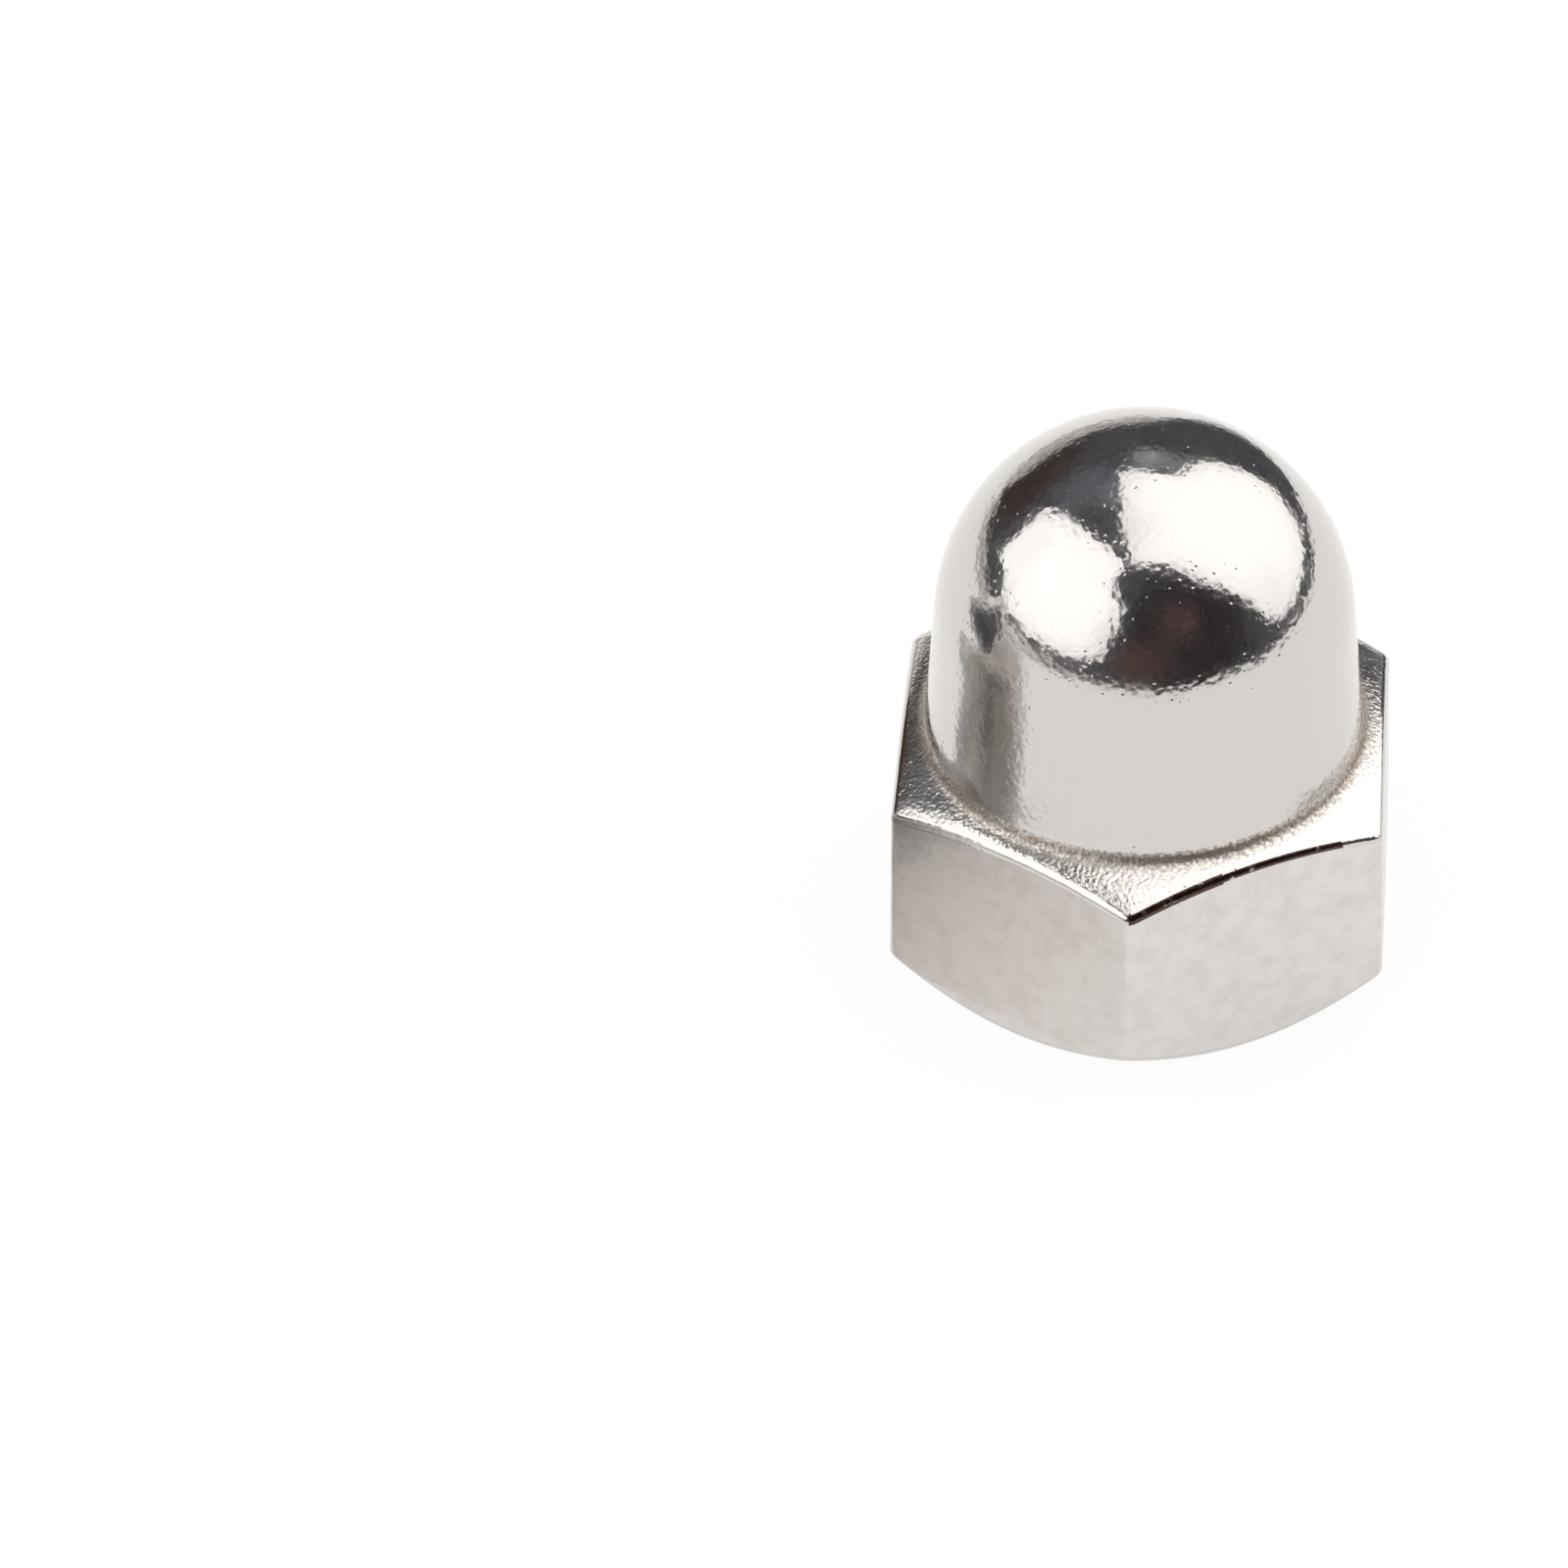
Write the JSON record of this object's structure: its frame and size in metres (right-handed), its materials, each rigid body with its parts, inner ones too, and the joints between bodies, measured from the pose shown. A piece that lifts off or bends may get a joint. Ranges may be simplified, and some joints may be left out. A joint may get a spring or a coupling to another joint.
{
  "type": "cap nut",
  "caption": "Polished hexagonal cap nut with a domed closed top and a blind threaded hole, which covers and holds the end of a stud or bolt.",
  "frame": {"origin": "centre of the round bearing face, at the foot of the nut", "axes": "+Z along the axis of the hole, from the bearing face up through the dome; +X through the middle of a flat and +Y through a corner"},
  "size_m": [0.013, 0.0148, 0.0152],
  "materials": {
    "polished_steel": "mirror polished stainless steel, with a duller machined bearing face"
  },
  "bodies": {
    "root": {"cap_nut": "polished_steel"}
  },
  "joints": []
}
